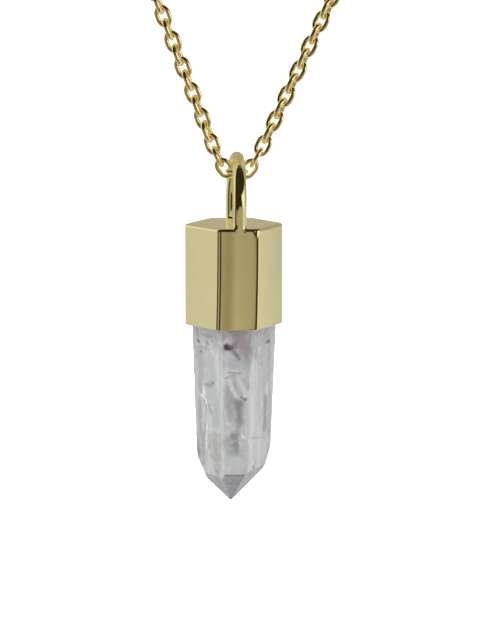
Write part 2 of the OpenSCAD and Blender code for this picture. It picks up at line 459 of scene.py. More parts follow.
stone = mesh_object("stone", [], [])
made = bmesh.new()
bmesh.ops.create_cube(made, size=ROUGH_BLOCK * MM)
for x, y, z, reach in planes:
    cut = bmesh.ops.bisect_plane(
        made, geom=made.verts[:] + made.edges[:] + made.faces[:],
        plane_co=Vector((x, y, z)) * reach * MM, plane_no=Vector((x, y, z)), clear_outer=True)
    open_edges = [edge for edge in cut["geom_cut"] if isinstance(edge, bmesh.types.BMEdge)]
    bmesh.ops.holes_fill(made, edges=open_edges)
bmesh.ops.recalc_face_normals(made, faces=made.faces)
made.to_mesh(stone.data)
made.free()
grid = stone.modifiers.new("grid", "REMESH")
grid.mode = "VOXEL"
grid.voxel_size = GRID_SIZE * MM
apply_modifiers(stone)


def stone_depth(points):
    """How far points in millimetres lie outside the stone, with its edges a little blunt."""
    reach = points @ PLANES[:, :3].T - PLANES[:, 3]
    most = reach.max(axis=1, keepdims=True)
    total = np.exp((reach - most) / EDGE_BLUNT).sum(axis=1, keepdims=True)
    return (most + EDGE_BLUNT * np.log(total))[:, 0]


def lay_on_stone(points, steps=6):
    """Moves points onto the stone's surface and gives them with its outward direction."""
    for _ in range(steps):
        depth = stone_depth(points)
        slope = np.stack([
            (stone_depth(points + shift) - stone_depth(points - shift)) / (2 * SLOPE_STEP)
            for shift in np.eye(3) * SLOPE_STEP
        ], axis=1)
        slope /= np.linalg.norm(slope, axis=1, keepdims=True)
        points = points - depth[:, None] * slope
    return points, slope


count = len(stone.data.vertices)
flat = np.empty(count * 3, np.float32)
stone.data.vertices.foreach_get("co", flat)
points, outward = lay_on_stone(flat.reshape(-1, 3).astype(float) / MM)
reach = np.sort(points @ PLANES[:, :3].T - PLANES[:, 3], axis=1)
edge_near = np.exp(-((reach[:, -1] - reach[:, -2]) / EDGE_WIDE))
# Growth steps and a slow swell on the faces, and chips along the edges, in millimetres
STEP_HIGH = 0.008
SWELL_HIGH = 0.03
CHIP_DEEP = 0.2
worn = np.zeros(count)
for k, (x, y, z) in enumerate(points):
    steps = noise.noise(Vector((x * 0.25, y * 0.25, z * 2.2)))
    swell = noise.noise(Vector((x * 0.3, y * 0.3, z * 0.12 + 7)))
    chips = max(0.0, noise.noise(Vector((x * 1.3, y * 1.3, z * 1.1))) - 0.12)
    worn[k] = STEP_HIGH * steps + SWELL_HIGH * swell + SWELL_HIGH
    worn[k] -= CHIP_DEEP * chips * edge_near[k]
points = points + outward * worn[:, None]
stone.data.vertices.foreach_set("co", (points * MM).astype(np.float32).ravel())
wear = stone.data.attributes.new("edge_near", "FLOAT", "POINT")
wear.data.foreach_set("value", edge_near.astype(np.float32))
stone.data.transform(Matrix.Translation((CAP_X, 0, CAP_LOW.z)))
stone.data.shade_smooth()
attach(stone, "pendant")
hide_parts("crystal")

# The stone's skin, and how far it is from the camera in metres
skin = BVHTree.FromPolygons(
    [vertex.co.copy() for vertex in stone.data.vertices],
    [tuple(face.vertices) for face in stone.data.polygons])
SKIN_AWAY = 0.485


def skin_at(x, y, under=0.0):
    """The place on the stone's skin, or under it in millimetres, at a point of the picture."""
    ray = (ahead + sideways * ((x - PICTURE[0] / 2) / FOCAL_PIXELS)
           - upward * ((y - PICTURE[1] / 2) / FOCAL_PIXELS)).normalized()
    hit, outward, _, _ = skin.ray_cast(camera.location, ray)
    if hit is None:
        hit, outward, _, _ = skin.find_nearest(camera.location + ray * SKIN_AWAY)
    return hit - outward * under * MM


# The veils, fractures and stains in the stone, its lighter and darker grey patches, painted
# glints where the fractures catch the light and painted shade along the point's lower outline,
# all as veins of colour near its skin. Each goes from one point of the picture to another, and
# has half its width in millimetres, its colour, strength and raggedness, and the part of the
# width that is full
WHITE = (1.0, 1.0, 1.0)
STONE_MARKS_AND_PAINTED_LIGHT = [
    (197, 331, 213, 334, 1.5, (0.6, 0.6, 0.7), 0.7, 0.6, 0),
    (208, 335, 208, 410, 0.9, (0.62, 0.63, 0.64), 0.5, 0.4, 0),
    (264, 344, 264, 384, 1.7, (0.6, 0.61, 0.62), 0.6, 0.3, 0.1),
    (264, 384, 264, 430, 1.2, (0.62, 0.63, 0.64), 0.6, 0.3, 0.1),
    (256, 337, 257, 356, 1.3, (0.57, 0.53, 0.58), 0.75, 0.4, 0),
    (216, 332, 262, 334, 2.6, (0.64, 0.575, 0.635), 0.9, 0.4, 0.15),
    (236, 331, 247, 350, 2.4, (0.5, 0.41, 0.475), 0.9, 0.4, 0.15),
    (248, 352, 244, 362, 1.4, (0.54, 0.5, 0.54), 0.65, 0.5, 0),
    (216, 345, 224, 352, 1.0, (0.66, 0.58, 0.65), 0.6, 0.6, 0),
    (268, 330, 269, 352, 1.5, (0.54, 0.53, 0.57), 0.7, 0.4, 0),
    (226, 354, 231, 357, 0.5, (0.88, 0.9, 0.9), 0.8, 0.5, 0),
    (226.5, 346.4, 232, 347.6, 0.8, (0.36, 0.23, 0.32), 0.8, 0.6, 0),
    (227, 346.6, 230.6, 348.2, 0.55, (0.1, 0.035, 0.08), 1.0, 0.4, 0.3),
    (231, 346, 237, 342, 0.4, (0.34, 0.24, 0.33), 0.8, 0.6, 0),
    (233.5, 350, 238.8, 358.5, 0.5, (0.3, 0.22, 0.36), 0.9, 0.6, 0.1),
    (226, 364, 246, 366, 1.2, (0.66, 0.68, 0.7), 0.6, 0.5, 0),
    (201, 352, 200, 384, 1.3, (0.57, 0.59, 0.61), 0.7, 0.5, 0),
    (211, 360, 212, 410, 1.0, (0.68, 0.7, 0.72), 0.6, 0.6, 0),
    (217, 356, 218, 398, 0.45, WHITE, 0.7, 0.5, 0),
    (222.6, 376, 222.8, 414, 0.42, WHITE, 0.9, 0.25, 0.15),
    (222.8, 414, 222.8, 470, 0.4, WHITE, 0.4, 0.4, 0.1),
    (196.6, 360, 198.2, 430, 0.3, WHITE, 0.7, 0.4, 0),
    (199.6, 400, 200.6, 432, 0.7, (0.54, 0.56, 0.57), 0.7, 0.4, 0),
    (205, 384, 211, 386, 0.35, (0.42, 0.43, 0.46), 0.8, 0.7, 0),
    (212, 382, 213, 383, 0.4, (0.42, 0.43, 0.46), 0.8, 0.6, 0),
    (226, 372.5, 240, 373.5, 0.2, (0.42, 0.43, 0.46), 0.7, 0.7, 0),
    (226, 370, 238, 371, 0.25, WHITE, 0.7, 0.7, 0),
    (226, 378, 233, 376, 0.25, (0.44, 0.45, 0.48), 0.7, 0.7, 0),
    (229, 388, 229.5, 426, 1.2, (0.48, 0.475, 0.49), 0.7, 0.25, 0),
    (235, 383, 239, 394, 0.6, (0.48, 0.49, 0.52), 0.6, 0.5, 0),
    (229.4, 380, 232, 389, 0.42, WHITE, 1.0, 0.4, 0.1),
    (232, 389, 236.5, 397, 0.38, WHITE, 1.0, 0.4, 0.1),
    (238.8, 380, 242.4, 388, 0.42, WHITE, 1.0, 0.4, 0.1),
    (242.4, 388, 248, 396, 0.42, WHITE, 1.0, 0.4, 0.1),
    (244, 378, 248, 388, 0.5, (0.56, 0.57, 0.6), 0.6, 0.6, 0),
    (241, 396.6, 241.6, 397.6, 0.26, (0.25, 0.26, 0.28), 1.0, 0.4, 0.1),
    (244.4, 398.4, 245.6, 399.6, 0.28, (0.22, 0.23, 0.25), 1.0, 0.4, 0.1),
    (243.6, 395.6, 244.6, 396.6, 0.26, WHITE, 1.0, 0.3, 0.2),
    (247, 396.6, 247.6, 398, 0.24, WHITE, 1.0, 0.3, 0.2),
    (232, 400, 238, 405, 0.8, (0.44, 0.44, 0.45), 0.6, 0.4, 0),
    (239, 404, 239.4, 421, 1.05, (0.29, 0.3, 0.305), 0.85, 0.2, 0),
    (239, 422, 238, 434, 0.6, (0.46, 0.48, 0.49), 0.6, 0.4, 0),
    (226, 426, 233, 434, 0.9, (0.86, 0.88, 0.87), 0.6, 0.5, 0),
    (238, 384, 239, 398, 0.5, (0.8, 0.81, 0.82), 0.4, 0.4, 0),
    (228, 409, 233, 414, 0.8, (0.56, 0.52, 0.52), 0.6, 0.9, 0),
    (226, 414, 232, 423, 0.6, (0.82, 0.8, 0.9), 0.85, 1.2, 0),
    (225.4, 410, 227, 424, 0.22, WHITE, 0.9, 0.9, 0),
    (229, 424, 232, 428, 0.25, WHITE, 0.8, 0.9, 0),
    (265.4, 397, 264.8, 427, 0.85, (0.33, 0.345, 0.35), 0.85, 0.3, 0),
    (259, 362, 259, 404, 0.6, (0.66, 0.67, 0.68), 0.6, 0.5, 0),
    (252, 338, 255, 351, 1.2, (0.58, 0.58, 0.6), 0.5, 0.3, 0),
    (254, 366, 253.4, 436, 0.6, WHITE, 0.55, 0.5, 0),
    (269.2, 354, 268.4, 432, 1.1, (0.56, 0.57, 0.58), 0.55, 0.3, 0.1),
    # A painted glint on the right fracture
    (267.2, 383, 267.6, 394, 0.3, WHITE, 0.9, 0.5, 0.1),
    (258, 404, 258, 422, 1.3, (0.6, 0.61, 0.61), 0.5, 0.4, 0),
    (257, 412, 258, 434, 0.6, (0.95, 0.98, 0.96), 0.4, 0.6, 0),
    (214.6, 441, 217.6, 456, 2.2, (0.61, 0.57, 0.49), 0.85, 0.5, 0),
    (210, 446, 212, 456, 0.5, (0.56, 0.52, 0.45), 0.6, 1.2, 0),
    (218, 444, 219.6, 452, 0.4, (0.86, 0.8, 0.7), 0.7, 1.2, 0),
    (210, 430, 219, 430, 0.6, (0.92, 0.95, 0.94), 0.8, 0.6, 0),
    (196.8, 435, 198.6, 453, 0.55, (0.3, 0.3, 0.27), 0.9, 0.3, 0),
    (202, 434, 204, 462, 0.75, (0.55, 0.55, 0.5), 0.8, 0.5, 0),
    # Painted shade along the point's lower left outline
    (199.6, 456, 207.6, 476, 0.4, (0.42, 0.43, 0.43), 0.8, 0.4, 0),
    (227, 438, 229, 454, 0.8, (0.6, 0.63, 0.63), 0.7, 0.5, 0),
    (235.4, 437, 235.8, 451, 1.0, (0.32, 0.34, 0.335), 0.85, 0.5, 0),
    (231, 452, 240, 456, 0.6, (0.56, 0.6, 0.58), 0.7, 0.6, 0),
    (228, 463, 247, 464, 1.3, (0.8, 0.87, 0.83), 0.8, 0.5, 0),
    # Painted glints below the middle, where flakes catch the light
    (242, 435, 246, 438.5, 0.32, WHITE, 1.0, 0.9, 0.2),
    (239.6, 443, 242, 445, 0.24, WHITE, 1.0, 0.9, 0.1),
    (249, 440, 253, 462, 0.4, WHITE, 0.8, 0.8, 0),
    (252, 438, 266, 437, 0.2, (0.52, 0.53, 0.53), 0.55, 0.9, 0),
    (268.6, 430, 267.6, 454, 0.35, (0.44, 0.46, 0.46), 0.8, 0.4, 0),
    (266, 456, 262, 464, 0.35, (0.5, 0.52, 0.52), 0.7, 0.4, 0),
    (208.6, 466, 216, 474, 0.6, (0.92, 0.93, 0.92), 0.8, 0.6, 0),
    (214.6, 470, 218.6, 473, 0.26, (0.42, 0.43, 0.44), 0.7, 0.6, 0),
    # Painted shade along the point's lower outline
    (208, 479, 227, 496.5, 0.35, (0.34, 0.345, 0.355), 0.8, 0.4, 0),
    (225, 475.3, 244.6, 475.1, 0.2, (0.2, 0.19, 0.22), 0.9, 0.4, 0.1),
    (226.5, 478.6, 242, 478.4, 0.13, (0.48, 0.47, 0.51), 0.6, 0.7, 0),
    (228, 482, 240, 481.8, 0.13, (0.46, 0.45, 0.49), 0.6, 0.7, 0),
    (222, 480, 227, 486, 0.4, (0.62, 0.62, 0.65), 0.7, 1.2, 0),
    (230.6, 488, 230.8, 494, 0.7, (0.5, 0.495, 0.52), 0.7, 1.0, 0),
    (230.6, 497, 230.7, 498.6, 0.3, (0.2, 0.2, 0.21), 0.8, 0.4, 0),
    (262.6, 468.6, 250, 474, 0.42, (0.33, 0.34, 0.35), 0.9, 0.4, 0.1),
    (244, 480, 235, 494, 0.3, (0.7, 0.71, 0.71), 0.7, 0.5, 0),
    (202, 390, 204.6, 402, 0.6, (0.5, 0.51, 0.52), 0.75, 0.7, 0),
    # Painted glints along the left fracture, where its flakes catch the light
    (203.2, 386, 203.4, 389, 0.18, WHITE, 0.9, 0.6, 0.2),
    (203.4, 390, 204.2, 393, 0.36, WHITE, 1.0, 0.8, 0.3),
    (201.4, 395, 203.4, 397.4, 0.34, WHITE, 1.0, 0.9, 0.3),
    (205.4, 398, 206, 401, 0.26, WHITE, 0.9, 0.8, 0.2),
    (206.2, 402, 207.6, 407, 0.38, WHITE, 1.0, 0.6, 0.35),
    (208.6, 405, 211, 412, 0.34, (0.44, 0.45, 0.46), 0.8, 0.8, 0),
    (205, 408, 209.6, 420, 0.5, (0.9, 0.91, 0.92), 0.85, 0.8, 0),
    (206, 403, 206.6, 412, 0.16, (0.38, 0.39, 0.4), 0.8, 0.6, 0),
    # More painted glints along the left fracture
    (207, 422, 207, 433, 0.2, WHITE, 0.9, 0.7, 0.2),
    (206.4, 434, 206, 441, 0.3, WHITE, 1.0, 0.7, 0.3),
    (206.4, 443, 206.4, 448, 0.24, WHITE, 1.0, 0.7, 0.3),
    (203.4, 419, 203.6, 430, 0.26, (0.92, 0.94, 0.94), 0.7, 0.7, 0),
    (205, 424, 204.8, 446, 0.2, (0.38, 0.4, 0.4), 0.8, 0.6, 0),
    # A painted glint where the right fracture's flakes catch the light
    (266.2, 385, 267, 392, 0.22, WHITE, 1.0, 0.6, 0.2),
    (197.8, 341, 199.2, 342, 0.3, (0.16, 0.18, 0.19), 1.0, 0.7, 0.1),
    (206, 341, 207.6, 344, 0.3, (0.2, 0.21, 0.24), 1.0, 0.7, 0.1),
    (211.6, 340, 212, 342, 0.24, (0.3, 0.31, 0.37), 0.9, 0.7, 0),
    (200.4, 350.5, 202, 352.5, 0.32, (0.24, 0.26, 0.27), 0.9, 0.7, 0),
    (199, 346, 208, 348, 0.4, (0.48, 0.49, 0.52), 0.7, 1.2, 0),
    (202.5, 343, 204, 346, 0.26, WHITE, 1.0, 0.8, 0),
    (209, 346, 210, 349, 0.2, WHITE, 0.9, 0.8, 0),
    (212, 351, 213.2, 354, 0.3, WHITE, 1.0, 0.8, 0.1),
    (205.5, 335, 213, 337, 0.3, (0.4, 0.4, 0.5), 0.8, 0.9, 0),
    (266.6, 342.6, 269.6, 340.5, 0.28, (0.18, 0.19, 0.2), 1.0, 0.6, 0.1),
    (266, 345, 268, 346, 0.24, WHITE, 0.8, 0.7, 0),
    (258, 362, 259, 363, 0.18, (0.38, 0.39, 0.4), 0.9, 0.6, 0),
    (261.6, 363.6, 262.2, 364.4, 0.18, (0.38, 0.39, 0.4), 0.9, 0.6, 0),
]
placed = np.empty(count * 3, np.float32)
stone.data.vertices.foreach_get("co", placed)
placed = placed.reshape(-1, 3).astype(float) / MM
ragged = np.array([noise.fractal(Vector(point) * 0.9, 0.7, 2.1, 4) for point in placed])
marks_and_light = np.zeros((count, 4))
for x0, y0, x1, y1, half_width, paint, strength, ragged_by, inner in STONE_MARKS_AND_PAINTED_LIGHT:
    start, end = np.array(skin_at(x0, y0)) / MM, np.array(skin_at(x1, y1)) / MM
    part = np.clip((placed - start) @ (end - start) / ((end - start) @ (end - start)), 0, 1)
    off = np.linalg.norm(placed - start - part[:, None] * (end - start), axis=1) / half_width
    cover = np.clip((1 - off - ragged * ragged_by) / (1 - inner), 0, 1)
    cover = (strength * cover * cover * (3 - 2 * cover))[:, None]
    marks_and_light = marks_and_light * (1 - cover) + np.array([*paint, 1]) * cover
marks_and_painted_light = stone.data.attributes.new("marks_and_painted_light", "FLOAT_COLOR", "POINT")
marks_and_painted_light.data.foreach_set("color", marks_and_light.astype(np.float32).ravel())

# The painted shade of the point's faces, as tones by their place in the list of its faces
POINT_SHADE_TONES = [
    (0, (0.295, 0.28, 0.33)), (1, (0.47, 0.48, 0.485)), (5, (0.44, 0.445, 0.46)),
    (4, (0.48, 0.485, 0.49)),
]
# A face of the point has its painted shade where the skin looks nearly the same way as the
# face. The shade is patchy: so much of it follows the mottle, and so much is everywhere
FACE_SEEN = (0.93, 0.985)
SHADE_PATCHES = (1.3, 0.8)
MOTTLE_PART = 0.4
FROST_MORE = 0.2
CLOUD_GREY = (0.64, 0.65, 0.665)
quartz, tree, shader = new_material("quartz")


def stone_noise(tree, scale, detail, stretch=(1, 1, 1)):
    """A noise in the stone, about zero, finer with a larger scale and drawn out by a stretch."""
    place = add_node(tree, "ShaderNodeTexCoord")
    drawn = add_node(tree, "ShaderNodeMapping", {
        "Vector": place.outputs["Object"], "Scale": stretch})
    grain = add_node(tree, "ShaderNodeTexNoise", {
        "Vector": drawn.outputs["Vector"], "Scale": scale, "Detail": detail, "Roughness": 0.6})
    return calc(tree, "SUBTRACT", grain.outputs[0], 0.5)


def between(tree, value, low, high, least=0.0, most=1.0):
    """Goes from the least to the most while a value goes from low to high."""
    place = add_node(tree, "ShaderNodeMapRange", {
        "Value": value, "From Min": low, "From Max": high, "To Min": least, "To Max": most})
    return place.outputs["Result"]


def mix(tree, part, first, second):
    """Two colours or links mixed, with the second at its fullest where the part is 1."""
    blend = add_node(tree, "ShaderNodeMix", {0: part, 6: first, 7: second}, data_type="RGBA")
    return blend.outputs[2]


veils = stone_noise(tree, 650.0, 4.0, (1, 1, 0.13))
mottle = stone_noise(tree, 1700.0, 3.0, (1, 1, 0.6))
clouds = calc(tree, "MULTIPLY_ADD", mottle, MOTTLE_PART, veils)
tone = tones(tree, between(tree, clouds, -0.4, 0.4), CLOUD_GREY, WHITE, 0.2, 0.8)
# The worn edges are a little frosted, and painted shade makes the faces of the point darker than
# the sides
near = add_node(tree, "ShaderNodeAttribute", attribute_name="edge_near")
breaks = calc(tree, "ADD", stone_noise(tree, 800.0, 3.0), FROST_MORE, clamped=True)
frost = calc(tree, "MULTIPLY", near.outputs["Fac"], breaks)
colour = mix(tree, frost, tone, (*WHITE, 1))
ground = add_node(tree, "ShaderNodeNewGeometry")
patchy_shade = calc(tree, "MULTIPLY_ADD", mottle, *SHADE_PATCHES)
for face, paint in POINT_SHADE_TONES:
    outward = ground_plane(*POINT_FACES[face], 0, 0)[:3]
    facing = add_node(tree, "ShaderNodeVectorMath", {
        0: ground.outputs["Normal"], 1: outward}, operation="DOT_PRODUCT")
    on_face = between(tree, facing.outputs["Value"], *FACE_SEEN)
    part = calc(tree, "MULTIPLY", on_face, patchy_shade, clamped=True)
    colour = mix(tree, part, colour, (*paint, 1))
# The marks, with their painted glints and painted shade, lie over the stone's tone
painted = add_node(tree, "ShaderNodeAttribute", attribute_name="marks_and_painted_light")
clear_part = calc(tree, "SUBTRACT", 1.0, painted.outputs["Alpha"])
cleared = add_node(tree, "ShaderNodeVectorMath", {
    0: colour, "Scale": clear_part}, operation="SCALE")
tone_marks_and_light = add_node(tree, "ShaderNodeVectorMath", {
    0: cleared.outputs[0], 1: painted.outputs["Color"]}, operation="ADD")
rough = between(tree, clouds, -0.3, 0.3, 0.25, 0.45)
growth = stone_noise(tree, 500.0, 4.0, (0.3, 0.3, 4.0))
relief = add_node(tree, "ShaderNodeBump", {"Height": growth, "Strength": 0.25, "Distance": 0.0001})
set_inputs(tree, shader, {
    "IOR": 1.544, "Transmission Weight": 0.35, "Coat Weight": 0.7, "Coat Roughness": 0.04,
    "Base Color": tone_marks_and_light.outputs[0], "Roughness": rough, "Normal": relief.outputs["Normal"]})
stone.data.materials.clear()
stone.data.materials.append(quartz)


# Fractures reach the skin at the left and right of the stone. Thin flakes of quartz have come
# loose along them, still held on one side. They are white and glow a little, as a painted glint.
# Their paths are in the picture.
FLAKE_PATHS = [
    [(203.4, 387), (204, 394)], [(201.4, 394), (203.4, 398)], [(202, 397), (204.6, 391)],
    [(205.4, 398), (206.4, 402), (208, 408)], [(206.2, 402), (207.4, 406)],
    [(207.2, 424), (206.8, 431)], [(206.4, 434), (206, 441)], [(206.2, 443), (206.6, 448)],
    [(266.3, 386), (267, 391)], [(242, 436.5), (245.5, 439)],
]
FLAKE_SIDES = 7
FLAKE_HALF_THICK = 0.04
# The left and right faces of the stone start at these places in the picture
LEFT_FACE_TO, RIGHT_FACE_FROM, FACE_TURN = 224, 252, 0.95
rng = np.random.default_rng(41)
flake_points, flake_faces = [], []
for trail in FLAKE_PATHS:
    for (x0, y0), (x1, y1) in zip(trail, trail[1:]):
        pieces = max(2, round(math.hypot(x1 - x0, y1 - y0) / 2))
        for k in range(pieces):
            part = (k + rng.uniform(0.2, 0.8)) / pieces
            middle = skin_at(x0 + (x1 - x0) * part, y0 + (y1 - y0) * part, 0.01) / MM
            turned = FACE_TURN * ((x0 > RIGHT_FACE_FROM) - (x0 < LEFT_FACE_TO))
            tilt = Matrix.Rotation(rng.uniform(-0.2, 0.2), 3, "X") @ Matrix.Rotation(
                rng.uniform(-0.3, 0.3) + turned, 3, "Z")
            wide, tall = rng.uniform(0.05, 0.12), rng.uniform(0.12, 0.28)
            start = len(flake_points)
            for c in range(FLAKE_SIDES):
                angle = 2 * math.pi * c / FLAKE_SIDES
                size = rng.uniform(0.6, 1.0)
                flake_points.append(middle + tilt @ Vector((
                    wide * size * math.cos(angle), 0, tall * size * math.sin(angle))))
            flake_points += [
                middle - tilt @ Vector((0, FLAKE_HALF_THICK, 0)),
                middle + tilt @ Vector((0, FLAKE_HALF_THICK, 0))]
            for c in range(FLAKE_SIDES):
                after = (c + 1) % FLAKE_SIDES
                flake_faces.append((start + c, start + after, start + FLAKE_SIDES))
                flake_faces.append((start + after, start + c, start + FLAKE_SIDES + 1))
flakes = mesh_object("fracture_flakes", flake_points, flake_faces)
face_outward(flakes)
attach(flakes, "pendant")
flake_glow, tree, shader = new_material("fracture_painted_glint")
white_and_glow = tones(tree, stone_noise(tree, 1500.0, 2.0), (0.88, 0.9, 0.92), WHITE)
# The flakes glow a little: a painted glint
set_inputs(tree, shader, {
    "Base Color": white_and_glow, "Roughness": 0.3, "Emission Color": white_and_glow, "Emission Strength": 0.4})
flakes.data.materials.append(flake_glow)


# A few dark grains of another mineral grew into the quartz. They sit in its skin, most of them
# just below the cap. Each has its place in the picture and its size in millimetres.
GRAINS = [
    (198.6, 341, 0.11), (206.8, 342.6, 0.11), (201.2, 351.5, 0.1), (212, 340.8, 0.08),
    (268.4, 341.2, 0.12), (212.5, 383, 0.1), (240.6, 397.5, 0.09), (247.4, 398.8, 0.08),
]
GRAIN_SUNK = 0.7
GRAIN_LUMPS = 0.5
grain_points, grain_faces = [], []
for x, y, size in GRAINS:
    middle = skin_at(x, y, GRAIN_SUNK * size) / MM
    made = bmesh.new()
    bmesh.ops.create_icosphere(made, subdivisions=2, radius=1)
    start = len(grain_points)
    for vert in made.verts:
        lump = 1 + GRAIN_LUMPS * noise.noise(vert.co * 1.7 + middle)
        grain_points.append(middle + vert.co * size * lump)
    grain_faces += [tuple(start + vert.index for vert in face.verts) for face in made.faces]
    made.free()
grains = mesh_object("dark_grains", grain_points, grain_faces)
grains.data.shade_smooth()
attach(grains, "pendant")
dark, tree, shader = new_material("dark_grain")
murk = tones(tree, stone_noise(tree, 2500.0, 2.0), (0.10, 0.11, 0.12), (0.3, 0.31, 0.33))
set_inputs(tree, shader, {"Base Color": murk, "Roughness": 0.4})
grains.data.materials.append(dark)


# The chain is a cable chain of soldered oval links in round gold-plated wire, every second
# link turned edge-on. It runs from the link under the bail up both sides to the nape. The
# links lie as the solids' links do, and most are drawn in the fuller wire of the photo.
LOOP = 457.2
SIDE_LINKS = 114
LINK_WIDE = 2.4
LINK_WIRE = 0.66
WIRE_FULL = 0.72
LINK_GAP = 0.14
LINK_RINGS = 28
LINK_SIDES = 14
# A link's outline goes this part of the way from straight sides with round ends to an oval
LINK_OVAL = 0.45
LOW_LINKS = 4
# The angle of a strand to the upright, the whole loop's lean, and the slopes of the first two
# links beside the one under the bail. The links from the third up lie on the strand
HALF_ANGLE = 23.0
LEAN = 2.15
FIRST_SLOPE = 50.0
SECOND_SLOPE = 62.0
STRAND_FROM = 3
CLASP_STRETCH = 12.63
# How far the links turn about their strand, in degrees: a step from one to the next beside
# the bail, then up to a limit on each side, with the left side's turn easing off above
TURN_STEP = 8
RIGHT_TURN = 28
LEFT_TURN = 20
LOW_TURN = 34
EASE_STEP = 3
EASE_FROM = 3
# The links from this one up lie each a little differently, by up to these degrees
PLAY_FROM = 3
LINK_PLAY = np.array([4.0, 1.0, 1.0])
# The crooks of a link, which carry painted shade: where round its ends they start and are
# full, and how they fade out round the wire
CROOK_START, CROOK_FULL = 0.4, 0.9
CROOK_WIDE, CROOK_FADE = 0.35, 0.9

pitch = (LOOP - CLASP_STRETCH - LINK_WIRE - LINK_GAP) / (2 * SIDE_LINKS + 1)
link_long = round(100 * (pitch + 2 * LINK_WIRE + LINK_GAP)) / 100
half_straight = (link_long - LINK_WIDE) / 2
own_end = (link_long - LINK_WIRE) / 2
held_end = pitch - own_end


def along(slope):
    """The direction of a slope in degrees."""
    return np.array([math.cos(math.radians(slope)), math.sin(math.radians(slope))])


strand_slope = 90 - HALF_ANGLE
joint_1 = np.array([own_end, 0])
joint_2 = joint_1 + 2 * held_end * along(FIRST_SLOPE)
joint_3 = joint_2 + 2 * own_end * along(SECOND_SLOPE)
strand_start = joint_3 + held_end * along(strand_slope)
arc_radius = (LOOP / 2 - STRAND_FROM * pitch + strand_start[0] / along(strand_slope)[0]) / (
    math.tan(math.radians(strand_slope)) + math.radians(180 - strand_slope))
straight = (arc_radius * along(strand_slope)[1] - strand_start[0]) / along(strand_slope)[0]
loop_tall = (strand_start[1] + straight * along(strand_slope)[1]
             + arc_radius * (1 + along(strand_slope)[0]))
chain_low = -loop_tall * np.array([math.sin(math.radians(LEAN)), 0, math.cos(math.radians(LEAN))])


def link_place(i):
    """A link of the right-hand side as (across, up, slope), counted from the bail."""
    if i == 0:
        return 0, 0, 0
    if i == 1:
        return (*(joint_1 + held_end * along(FIRST_SLOPE)), FIRST_SLOPE)
    if i == 2:
        return (*(joint_2 + own_end * along(SECOND_SLOPE)), SECOND_SLOPE)
    at = (i - STRAND_FROM) * pitch
    if at <= straight:
        return (*(strand_start + at * along(strand_slope)), strand_slope)
    slope = strand_slope + math.degrees((at - straight) / arc_radius)
    return (arc_radius * along(slope)[1], loop_tall - arc_radius * (1 + along(slope)[0]), slope)


def link_points(thick):
    """One oval link that lies flat along X: its wire's points, ring after ring."""
    bend = (LINK_WIDE - LINK_WIRE) / 2
    points = []
    for r in range(LINK_RINGS):
        turn = 2 * math.pi * (r + 0.5) / LINK_RINGS
        flat = Vector((half_straight * (1 if math.cos(turn) > 0 else -1) + bend * math.cos(turn),
                       bend * math.sin(turn)))
        oval = Vector(((half_straight + bend) * math.cos(turn), bend * math.sin(turn)))
        points.append(flat.lerp(oval, LINK_OVAL))
    wire = []
    for r in range(LINK_RINGS):
        ahead_by = (points[(r + 1) % LINK_RINGS] - points[r - 1]).normalized()
        out = Vector((ahead_by.y, -ahead_by.x))
        for k in range(LINK_SIDES):
            turn = 2 * math.pi * k / LINK_SIDES
            reach = thick / 2 * math.cos(turn)
            wire.append((points[r].x + reach * out.x, points[r].y + reach * out.y,
                         thick / 2 * math.sin(turn)))
    return np.array(wire)


# The lowest links turn most from one to the next, so their wire stays thinner
full_link = link_points(WIRE_FULL)
low_link = link_points(LINK_WIRE)
# How far each point of a link lies in its crooks, the inside of its two ends, where shade is
# painted
round_link = np.abs(np.cos(2 * math.pi * (np.arange(LINK_RINGS) + 0.5) / LINK_RINGS))
round_wire = np.cos(2 * math.pi * np.arange(LINK_SIDES) / LINK_SIDES)
at_end = np.clip((round_link - CROOK_START) / (CROOK_FULL - CROOK_START), 0, 1)
inside = np.clip(CROOK_WIDE - CROOK_FADE * round_wire, 0, 1)
link_crook_shade = np.outer(at_end, inside).ravel()


def link_faces(start):
    """The quads of one link, whose points begin at a place in the list."""
    return [
        (start + k * LINK_SIDES + i, start + k * LINK_SIDES + (i + 1) % LINK_SIDES,
         start + (k + 1) % LINK_RINGS * LINK_SIDES + (i + 1) % LINK_SIDES,
         start + (k + 1) % LINK_RINGS * LINK_SIDES + i)
        for k in range(LINK_RINGS)
        for i in range(LINK_SIDES)
    ]


def link_turn(i, mirrored):
    """How far a link is turned about its strand: more from link to link beside the bail."""
    if mirrored:
        return min(TURN_STEP * i, max(LEFT_TURN, LOW_TURN - EASE_STEP * max(0, i - EASE_FROM)))
    return -min(RIGHT_TURN, TURN_STEP * max(0, i - 1))


play = np.random.default_rng(12)


def chain_side(name, first, mirrored):
    """One side of the chain, from its first link to the nape, as one mesh."""
    points, faces = [], []
    for i in range(first, SIDE_LINKS + 1):
        across, up, slope = link_place(i)
        twist, tip, sway = play.uniform(-1, 1, 3) * LINK_PLAY * (i >= PLAY_FROM)
        twist += link_turn(i, mirrored) + 90 * (i % 2)
        turned = (Matrix.Rotation(math.radians(-slope + tip), 4, "Y")
                  @ Matrix.Rotation(math.radians(twist), 4, "X")
                  @ Matrix.Rotation(math.radians(sway), 4, "Z"))
        link = low_link if i < LOW_LINKS else full_link
        placed = link @ np.array(turned.to_3x3()).T + (across, 0, up)
        if mirrored:
            placed[:, 0] *= -1
        faces += link_faces(len(points))
        points += placed.tolist()
    side = mesh_object(name, points, faces)
    face_outward(side)
    side.data.transform(
        Matrix.Translation(chain_low * MM) @ Matrix.Rotation(math.radians(LEAN), 4, "Y"))
    side.data.shade_smooth()
    # Painted shade in each link's crooks
    crook_shades = side.data.attributes.new("crook_shade", "FLOAT", "POINT")
    crook_shades.data.foreach_set("value", np.tile(link_crook_shade, SIDE_LINKS + 1 - first))
    return side


